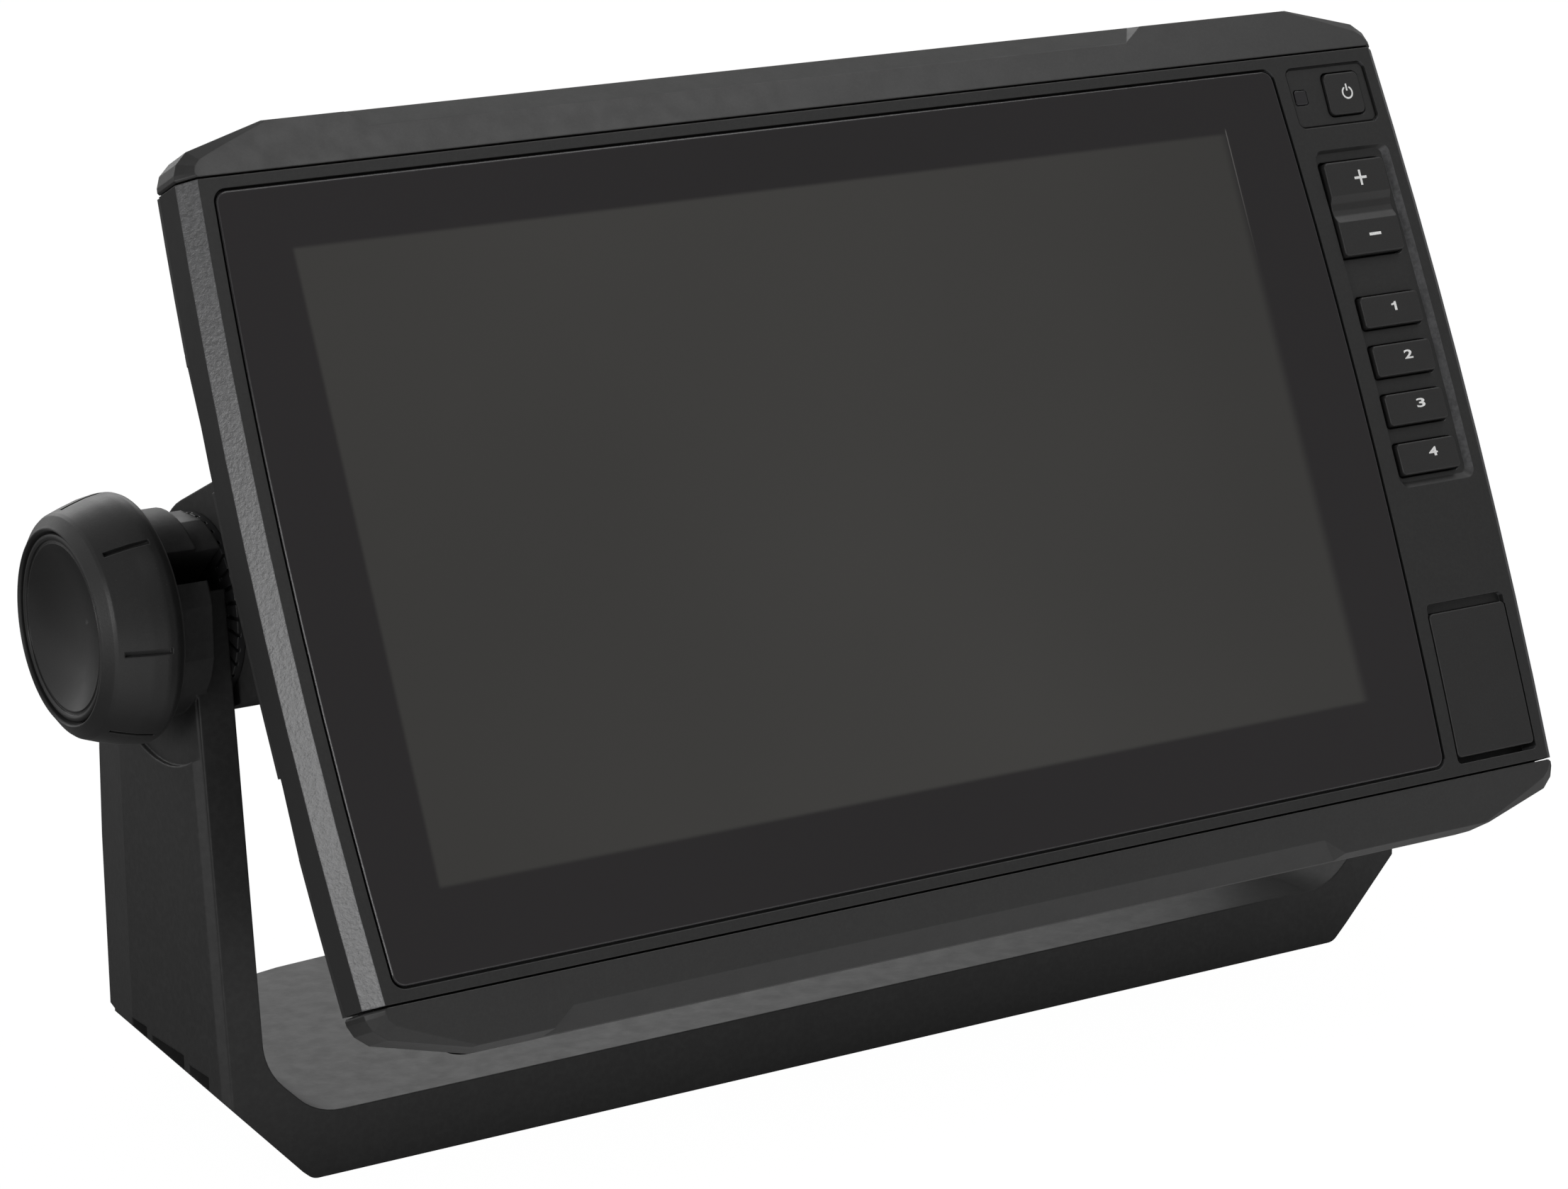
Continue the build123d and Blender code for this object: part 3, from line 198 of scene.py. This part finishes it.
def surface(name, color, rough, metal=0.0, grain=2200.0, depth=0.012, cell=0.0, mottle=0.035,
            radius=0.35, edge=0.35, edge_color=None, coat=0.0, sheen=0.0, dust=0.06,
            streak=None, pattern=None, satin_and_painted_light=None):
    """A moulded, cast, pressed or turned surface: two sizes of grain in the relief, slow changes
    of colour and gloss, polished edges painted lighter (edge wear and a painted edge highlight)
    and a trace of dust.

    grain is a noise scale; depth (of the relief) and radius (of the edges) are in mm.
    cell is the share of cellular relief, mottle the change of colour, edge the strength of the
    lighter edges: edge wear and a painted edge highlight.
    """
    material = bpy.data.materials.new(name)
    graph = Graph(material)
    point = graph.coords()
    grained = point
    if streak:
        grained = graph.add("Mapping", {"Vector": point, "Scale": streak})
    broad = point.noise(38.0, rough=0.6)
    medium = point.noise(260.0, rough=0.6)
    height = (grained.noise(grain, detail=2.0, rough=0.6) * 0.65
              + grained.noise(grain * 2.7, detail=1.0, rough=0.5) * 0.35)
    if cell:
        cells = grained.voronoi(grain * 0.55, feature="SMOOTH_F1")
        height = height * (1.0 - cell) + cells * cell
    normal, near_edge = graph.edges(radius * 0.001)

    tone = (broad.ramp(0.3, 0.7, to=(1.0 - mottle, 1.0 + mottle))
            + height.ramp(0.35, 0.65, to=(-0.14, 0.14)))
    base = graph.shade(pattern(graph, point) if pattern else color, tone)
    # Edges painted lighter: partly edge wear, partly a painted edge highlight.
    wear_and_highlight = near_edge * medium.ramp(0.42, 0.66, to=(0.35, 1.0)) * edge
    base = graph.mix(wear_and_highlight, base, edge_color or tuple(min(1.0, c * 1.9 + 0.012) for c in color))

    # Dust lies mostly on faces that look up.
    specks = point.noise(3100.0, detail=1.0, rough=0.5).ramp(0.70, 0.76)
    upward = graph.geometry().split()[2]
    settled = (upward.ramp(-0.2, 0.9, to=(0.15, 1.0))
               * broad.ramp(0.35, 0.75, to=(0.2, 1.0)))
    base = graph.mix(specks * settled * dust, base, (0.35, 0.34, 0.32))

    roughness = graph.maths("ADD", medium.ramp(0.25, 0.75, to=(rough - 0.03, rough + 0.03)),
                            near_edge * -0.10, clamp=True)
    # Sloping ends get a painted highlight and flat sides a painted shade, as well as their gloss
    # and relief.
    if satin_and_painted_light:
        base, roughness, height = satin_ends(
            graph, point, base, roughness, height, satin_and_painted_light["color"], satin_and_painted_light["rough"],
            relief=satin_and_painted_light["depth"] / depth)

    extra = {}
    if coat:
        extra.update(Coat_Weight=coat, Coat_Roughness=0.1)
    if sheen:
        extra.update(Sheen_Weight=sheen, Sheen_Roughness=0.4)
    graph.principled(Base_Color=base, Roughness=roughness, Metallic=metal,
                     Normal=graph.bump(height, depth * 0.001, normal), **extra)
    material.diffuse_color = (*color, 1.0)
    return material


def brushed(name, color, rough, streak):
    """Bare metal with its grain drawn out along one or two axes."""
    return surface(name, color, rough, metal=1.0, streak=streak, grain=1600.0, depth=0.004,
                   mottle=0.06, edge=0.5, dust=0.03)


def board_pattern(graph, point):
    """Solder mask over copper: runs of tracks, and pads."""
    track_wave = 6200.0  # radians per metre across the tracks
    flat = point.in_head()
    x, _, z = flat.split()
    patches = flat.voronoi(70.0, "Color", distance="CHEBYCHEV")
    upright = graph.add("SeparateColor", {0: patches}).ramp(0.49, 0.51)
    across = (x * track_wave).sine()
    along = (z * track_wave).sine()
    tracks = (across * upright + along * (1.0 - upright)).ramp(0.2, 0.5)
    tracks = tracks * flat.noise(90.0, detail=2.0).ramp(0.45, 0.5)
    base = graph.mix(tracks, (0.006, 0.045, 0.022), (0.012, 0.085, 0.040))
    pads = flat.voronoi(230.0).ramp(0.22, 0.17)
    pads = pads * flat.noise(60.0, detail=1.0).ramp(0.55, 0.6)
    return graph.mix(pads, base, (0.55, 0.54, 0.50))


# The picture area in the head's frame, in metres.
PICTURE_LEFT, PICTURE_RIGHT = -0.1117, 0.0870
PICTURE_BOTTOM, PICTURE_TOP = -0.0541, 0.0577
PICTURE_SOFT, PICTURE_SOFT_RIGHT = 0.0005, 0.0014  # half widths of its soft borders
BRIGHTEST_X = -0.010
# x of the painted reflection line right of the picture.
PAINTED_REFLECTION_X = 0.0876
FALLING = (1.0, 0.0)


def glass_material(name):
    """Bonded cover glass: black print round the edge, the picture area a shade lighter."""
    material = bpy.data.materials.new(name)
    graph = Graph(material)
    x, _, z = graph.coords().in_head().split()
    sides = (x.step(PICTURE_LEFT, PICTURE_SOFT)
             * x.step(PICTURE_RIGHT, PICTURE_SOFT_RIGHT, to=FALLING))
    picture = sides * (z.step(PICTURE_BOTTOM, PICTURE_SOFT)
                       * z.step(PICTURE_TOP, PICTURE_SOFT, to=FALLING))

    # The picture area has slow mottling, painted light that dims it to both sides of its
    # brightest point, and fine upright lines.
    broad = graph.coords().noise(9.0, detail=2.0, rough=0.5)
    tone = broad.ramp(0.3, 0.7, to=(0.93, 1.07))
    dimming = abs(x + -BRIGHTEST_X).ramp(0.0, 0.105, to=(1.06, 0.84))
    lines = (x * 21000.0).sine() * 0.02 + 1.0
    picture_color = graph.shade((0.0560, 0.0542, 0.0509), tone * dimming * lines)
    print_color = graph.mix(broad.ramp(0.3, 0.7), (0.0180, 0.0161, 0.0170),
                            (0.0200, 0.0178, 0.0190))
    base = graph.mix(picture, print_color, picture_color)

    # A painted reflection: a thin bright line right of the picture, near its top.
    painted_reflection_line = (abs(x - PAINTED_REFLECTION_X).ramp(0.00016, 0.00006)
            * (z.ramp(0.0300, 0.0560) * z.ramp(0.0590, 0.0580)))
    base = graph.mix(painted_reflection_line * 0.8, base, (0.15, 0.145, 0.14))
    normal, near_edge = graph.edges(0.0004)
    # Painted highlight: the edges of the glass are painted lighter.
    base = graph.mix(near_edge * 0.75, base, (0.15, 0.15, 0.155))
    smudges = graph.coords().noise(55.0, detail=4.0, rough=0.65, distortion=0.4)
    roughness = smudges.ramp(0.5, 0.75, to=(0.10, 0.16)) + picture * 0.05
    ripple = graph.coords().noise(3000.0, detail=1.0, rough=0.5)
    graph.principled(Base_Color=base, Roughness=roughness,
                     Normal=graph.bump(ripple, 0.0000004, normal))
    return material


MATERIALS = {
    "housing_plastic": surface(
        "housing_moulded", (0.0215, 0.0213, 0.0212), rough=0.56, grain=1500.0, depth=0.045,
        cell=0.5, edge=0.45, radius=0.45),
    "bezel_plastic": surface(
        "bezel_moulded", (0.0168, 0.0166, 0.0164), rough=0.52, grain=2600.0, depth=0.018,
        cell=0.3, edge=0.40, radius=0.30,
        # The satin colour is a painted highlight on the bezel's sloping ends.
        satin_and_painted_light={"color": (0.092, 0.092, 0.095), "rough": 0.31, "depth": 0.045}),
    "trim_plastic": surface(
        "trim_moulded", (0.0185, 0.0182, 0.0180), rough=0.46, grain=3000.0, cell=0.25,
        edge=0.45, radius=0.30),
    "bracket_plastic": surface(
        "bracket_moulded", (0.0235, 0.0233, 0.0233), rough=0.55, grain=1700.0, depth=0.030,
        cell=0.45, edge=0.55, radius=0.50),
    "knob_rubber": surface(
        "knob_soft_touch", (0.0130, 0.0129, 0.0128), rough=0.44, grain=2300.0, depth=0.026,
        sheen=0.08, edge=0.45, dust=0.10),
    "knob_cap_plastic": surface(
        "knob_cap_satin", (0.0135, 0.0133, 0.0132), rough=0.36, grain=3200.0, depth=0.007,
        edge=0.55, radius=0.30),
    "cover_glass": glass_material("cover_glass_printed"),
    "adhesive": surface(
        "bonding_tape", (0.018, 0.018, 0.019), rough=0.60, grain=900.0, depth=0.03, edge=0.1),
    "lcd": surface(
        "panel_glass", (0.020, 0.020, 0.021), rough=0.18, grain=5000.0, depth=0.001, coat=0.6,
        edge=0.3),
    "aluminium": surface(
        "cast_aluminium", (0.56, 0.57, 0.58), rough=0.42, metal=1.0, grain=900.0, depth=0.05,
        cell=0.4, edge=0.5, edge_color=(0.85, 0.86, 0.87)),
    "tinned_steel": brushed(
        "tinned_steel", (0.60, 0.60, 0.58), rough=0.32, streak=(1.0, 1.0, 0.08)),
    "circuit_board": surface(
        "solder_mask", (0.008, 0.055, 0.027), rough=0.35, grain=4000.0, depth=0.006, coat=0.4,
        edge=0.4, edge_color=(0.20, 0.17, 0.09), pattern=board_pattern),
    "key_plastic": surface(
        "key_moulded", (0.0178, 0.0173, 0.0172), rough=0.48, grain=3400.0, depth=0.011,
        edge=0.40, radius=0.28),
    "silicone": surface(
        "keypad_silicone", (0.20, 0.20, 0.205), rough=0.52, grain=2000.0, depth=0.01,
        edge=0.2, sheen=0.3),
    "seal_rubber": surface(
        "seal_rubber", (0.012, 0.012, 0.0125), rough=0.62, grain=1800.0, depth=0.02,
        sheen=0.2, edge=0.3),
    "stainless": brushed(
        "stainless_turned", (0.62, 0.61, 0.59), rough=0.24, streak=(1.0, 0.06, 0.06)),
    "brass": brushed(
        "brass_turned", (0.78, 0.56, 0.25), rough=0.27, streak=(1.0, 0.06, 0.06)),
    "friction_plastic": surface(
        "acetal_black", (0.0105, 0.0105, 0.011), rough=0.42, grain=1800.0, depth=0.01),
    "sensor_lens": surface(
        "sensor_lens", (0.014, 0.013, 0.015), rough=0.16, grain=5000.0, depth=0.001, coat=0.5,
        edge=0.4),
    "ribbon": surface(
        "polyimide_ribbon", (0.42, 0.17, 0.03), rough=0.34, grain=1500.0, depth=0.004,
        coat=0.3, streak=(6.0, 0.2, 0.2)),
    "ceramic": surface(
        "fired_ceramic", (0.62, 0.58, 0.50), rough=0.50, grain=1400.0, depth=0.02, edge=0.3,
        edge_color=(0.8, 0.77, 0.7)),
    "socket_plastic": surface(
        "socket_nylon", (0.017, 0.017, 0.018), rough=0.42, edge=0.5),
}

# The CAD pieces made of each material.
PIECES = {
    "bracket_plastic": ("bail_bracket",),
    "bezel_plastic": ("front_bezel",),
    "trim_plastic": ("top_trim", "bottom_trim"),
    "housing_plastic": ("rear_housing", "vent_plug"),
    "seal_rubber": ("case_seal", "card_door_seal"),
    "stainless": ("case_screws", "spreader_screws", "board_screws", "connector_board_screws",
                  "card_door_pin", "left_knob_stud", "right_knob_stud"),
    "cover_glass": ("cover_glass",),
    "adhesive": ("glass_adhesive",),
    "lcd": ("lcd_panel", "lcd_backlight"),
    "ribbon": ("lcd_ribbon_cable",),
    "aluminium": ("heat_spreader",),
    "circuit_board": ("main_board", "keypad_board", "connector_board"),
    "tinned_steel": ("shield_can", "card_reader"),
    "ceramic": ("gnss_antenna",),
    "silicone": ("keypad_mat",),
    "key_plastic": ("power_key", "zoom_rocker", "key_1", "key_2", "key_3", "key_4",
                    "card_door"),
    "sensor_lens": ("light_sensor_window",),
    "socket_plastic": ("buzzer", "power_socket", "network_sockets", "data_bus_socket",
                       "sonar_socket"),
    "brass": ("left_pivot_insert", "right_pivot_insert"),
    "friction_plastic": ("left_friction_washer", "right_friction_washer", "left_tilt_ring",
                         "right_tilt_ring"),
    "knob_rubber": ("left_knob", "right_knob"),
    "knob_cap_plastic": ("left_knob_cap", "right_knob_cap"),
}
material_of = {piece: MATERIALS[key] for key, pieces in PIECES.items() for piece in pieces}
for name, piece in NODES.items():
    piece.data.materials.clear()
    piece.data.materials.append(material_of[name])

# ---------------------------------------------------------------- legends ----
INK = surface("legend_ink", (0.93, 0.93, 0.92), rough=0.45, grain=4500.0, depth=0.004,
              mottle=0.03, edge=0.1, edge_color=(0.7, 0.7, 0.69), radius=0.05, dust=0.0)

# Millimetres in the head's frame. Outlines are (x, z) points.
RAISE, SINK = 0.03, 0.03  # how far the ink stands out of a key and reaches into it
POWER_FACE, ZOOM_FACE, KEY_FACE = -0.15, -0.70, -0.45  # y of the key faces
POWER_X, POWER_Z = 118.6, 63.0
KEY_1_Z, KEY_PITCH = 19.95, 9.75
DIGIT_HEIGHT = 1.78
DIGITS = {2: (117.1, 2.05), 3: (117.15, 2.05), 4: (117.15, 2.15)}  # centre x, width
# Figure 1: x, height above the middle of its key.
FIGURE_1 = [(117.22, 0.89), (116.80, 0.89), (116.62, 0.62), (116.02, 0.46),
            (116.02, 0.12), (116.66, 0.24), (116.66, -0.89), (117.22, -0.89)]


def sweep(x, z, radius, start, end, steps):
    """Points round a centre, from one angle to another in degrees."""
    angles = [math.radians(start + (end - start) * i / steps) for i in range(steps + 1)]
    return [(x + radius * math.cos(a), z + radius * math.sin(a)) for a in angles]


def ring_band(x, z, inner, outer, start, end):
    """Part of a ring with rounded ends."""
    def cap(angle, turn):
        a = math.radians(angle)
        middle = (inner + outer) / 2
        return sweep(x + middle * math.cos(a), z + middle * math.sin(a), (outer - inner) / 2,
                     angle + turn, angle + turn + 180, 8)[1:-1]

    return (sweep(x, z, outer, start, end, 40) + cap(end, 0)
            + sweep(x, z, inner, end, start, 40) + cap(start, 180))


def bar(x, z, width, height, radius):
    """A rectangle with rounded corners."""
    points = []
    for side, rise, start in ((1, 1, 0), (-1, 1, 90), (-1, -1, 180), (1, -1, 270)):
        points += sweep(x + side * (width / 2 - radius), z + rise * (height / 2 - radius),
                        radius, start, start + 90, 6)
    return points


def cross(x, z, width, height, thick):
    w, h, t = width / 2, height / 2, thick / 2
    corners = ((t, t), (t, h), (-t, h), (-t, t), (-w, t), (-w, -t),
               (-t, -t), (-t, -h), (t, -h), (t, -t), (w, -t), (w, t))
    return [(x + dx, z + dz) for dx, dz in corners]


def slabs(face, *outlines):
    """Outlines filled and given the ink's thickness about a key face."""
    bm = bmesh.new()
    for outline in outlines:
        back = [bm.verts.new((x, face + SINK, z)) for x, z in outline]
        front = [bm.verts.new((x, face - RAISE, z)) for x, z in outline]
        bm.faces.new(back)
        bm.faces.new(list(reversed(front)))
        for i in range(len(outline)):
            j = (i + 1) % len(outline)
            bm.faces.new((back[i], front[i], front[j], back[j]))
    return bm


def digit(text, x, z, width, face):
    """A bold upright figure of the given width, as a closed mesh."""
    curve = bpy.data.curves.new("digit", "FONT")
    curve.body = text
    curve.offset = 0.022
    curve.resolution_u = 6
    curve.extrude = 0.5
    obj = bpy.data.objects.new("digit", curve)
    scene.collection.objects.link(obj)
    bpy.context.view_layer.update()
    depsgraph = bpy.context.evaluated_depsgraph_get()
    mesh = bpy.data.meshes.new_from_object(obj.evaluated_get(depsgraph))
    bpy.data.objects.remove(obj)
    bm = bmesh.new()
    bm.from_mesh(mesh)
    bmesh.ops.remove_doubles(bm, verts=bm.verts, dist=1e-4)
    xs = [vert.co.x for vert in bm.verts]
    ys = [vert.co.y for vert in bm.verts]
    x_scale = width / (max(xs) - min(xs))
    y_scale = DIGIT_HEIGHT / (max(ys) - min(ys))
    x_mid, y_mid = (max(xs) + min(xs)) / 2, (max(ys) + min(ys)) / 2
    for vert in bm.verts:
        out = vert.co.z + 0.5  # 0 at the back, 1 at the front
        vert.co = Vector((x + (vert.co.x - x_mid) * x_scale,
                          face + SINK - (RAISE + SINK) * out,
                          z + (vert.co.y - y_mid) * y_scale))
    return bm


def legend(label, bm, body):
    """Print a mesh drawn in the head's millimetres on the key that carries it."""
    bmesh.ops.recalc_face_normals(bm, faces=bm.faces)
    mesh = bpy.data.meshes.new("legend_" + label)
    bm.to_mesh(mesh)
    bm.free()
    mesh.transform(HEAD_MM)
    mesh.materials.append(INK)
    obj = bpy.data.objects.new("legend_" + label, mesh)
    scene.collection.objects.link(obj)
    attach(obj, body)


power_ring = ring_band(POWER_X, POWER_Z, inner=0.98, outer=1.32, start=90 + 34, end=90 + 326)
power_bar = bar(POWER_X, POWER_Z + 1.05, width=0.36, height=1.45, radius=0.0648)
legend("power", slabs(POWER_FACE, power_ring, power_bar), "power_button")

plus = cross(116.15, 45.85, width=2.95, height=3.05, thick=0.50)
minus = bar(116.3, 34.5, width=2.85, height=0.56, radius=0.04)
legend("zoom", slabs(ZOOM_FACE, plus, minus), "zoom_button")

legend("1", slabs(KEY_FACE, [(x, KEY_1_Z + rise) for x, rise in FIGURE_1]), "button_1")
for number, (x, width) in DIGITS.items():
    figure = digit(str(number), x, KEY_1_Z - (number - 1) * KEY_PITCH, width, KEY_FACE)
    legend(str(number), figure, "button_%d" % number)


# ------------------------------------------------------------------ stage ----
def floor_material():
    """Nearly white to the camera; to other rays, a dark floor that glows in places."""
    material = bpy.data.materials.new("floor_pale")
    graph = Graph(material)
    point = graph.coords()
    pale = graph.mix(point.noise(3.0), (0.86, 0.86, 0.86), (0.90, 0.90, 0.895))
    camera_ray = graph.add("LightPath", output="Is Camera Ray")
    x, y, _ = point.split()
    front = y.ramp(-0.15, 0.00, to=FALLING)
    back_left = x.ramp(-0.45, -0.12, to=FALLING) * y.ramp(-0.10, 0.30)
    glow = front * 0.68 + back_left * 0.24 + 0.03
    color = graph.mix(camera_ray, (0.08, 0.08, 0.08), pale)
    diffuse = graph.add("BsdfDiffuse", {"Color": color, "Roughness": 0.6})
    white = graph.add("Emission", {"Color": (1, 1, 1), "Strength": 1.02})
    seen = graph.add("MixShader", {0: 0.97, 1: diffuse, 2: white})
    glowing = graph.add("Emission", {"Color": (1, 1, 1), "Strength": glow})
    felt = graph.add("AddShader", {0: diffuse, 1: glowing})
    mixed = graph.add("MixShader", {0: camera_ray, 1: felt, 2: seen})
    graph.node("OutputMaterial", {0: mixed})
    return material


def build_floor():
    material = floor_material()
    bm = bmesh.new()
    bmesh.ops.create_grid(bm, x_segments=8, y_segments=8, size=6.0)
    mesh = bpy.data.meshes.new("floor")
    bm.to_mesh(mesh)
    bm.free()
    mesh.materials.append(material)
    floor = bpy.data.objects.new("floor", mesh)
    scene.collection.objects.link(floor)
    floor.location = (0, 0, -0.0001)


def build_world():
    """White to the camera; as light, brighter behind and to the right, with a glow back left."""
    world = bpy.data.worlds.new("studio")
    scene.world = world
    graph = Graph(world)
    direction = graph.add("TexCoord", output="Generated")
    x, y, _ = direction.split()
    back = y.ramp(-0.25, 0.75)
    right = x.ramp(-0.75, 0.30)
    level = (back * right).ramp(0.0, 1.0, to=(0.315, 0.54), smooth=False)
    level = level * right.ramp(0.0, 1.0, to=(0.65, 1.0), smooth=False)
    toward_glow = graph.add("VectorMath", {0: direction, 1: (-0.62, 0.74, 0.26)}, "Value",
                            operation="DOT_PRODUCT")
    level = level + toward_glow.ramp(0.40, 0.97, to=(0.0, 0.42))
    camera_ray = graph.add("LightPath", output="Is Camera Ray")
    strength = level * (1.0 - camera_ray) + camera_ray
    background = graph.add("Background", {"Color": (1, 1, 1), "Strength": strength})
    graph.node("OutputWorld", {0: background})


def softbox(name, location, target, size, radiance):
    """A rectangular light aimed at a point."""
    light = bpy.data.lights.new(name, "AREA")
    light.shape = "RECTANGLE"
    light.size, light.size_y = size
    light.energy = radiance * math.pi * size[0] * size[1]
    light.spread = math.pi
    obj = bpy.data.objects.new(name, light)
    scene.collection.objects.link(obj)
    obj.location = location
    obj.rotation_mode = "QUATERNION"
    aim = Vector(target) - Vector(location)
    obj.rotation_quaternion = aim.to_track_quat("-Z", "Y")


def build_camera():
    lens = bpy.data.cameras.new("camera")
    camera = bpy.data.objects.new("camera", lens)
    scene.collection.objects.link(camera)
    turn = Matrix(((0.843599, 0.146262, -0.516671),
                   (-0.536812, 0.206078, -0.818147),
                   (-0.013189, 0.967543, 0.252362)))
    camera.matrix_world = Matrix.Translation((-0.47992, -0.77665, 0.31968)) @ turn.to_4x4()
    lens.sensor_width = 36.0
    lens.lens = 112.278
    lens.clip_start, lens.clip_end = 0.01, 50
    scene.camera = camera


build_floor()
build_world()
softbox("softbox_left", (-1.32, -0.68, 0.44), (0, -0.05, 0.08), size=(0.34, 0.50), radiance=10.0)
softbox("softbox_top", (0.62, -0.34, 1.35), (0, -0.02, 0.15), size=(1.30, 0.42), radiance=3.2)
softbox("softbox_back", (0.25, 1.5, 0.75), (0, 0, 0.10), size=(1.6, 0.5), radiance=2.4)
build_camera()

view = scene.view_settings
view.view_transform = "Standard"
view.look = "None"
view.exposure = 0.0
view.gamma = 1.0
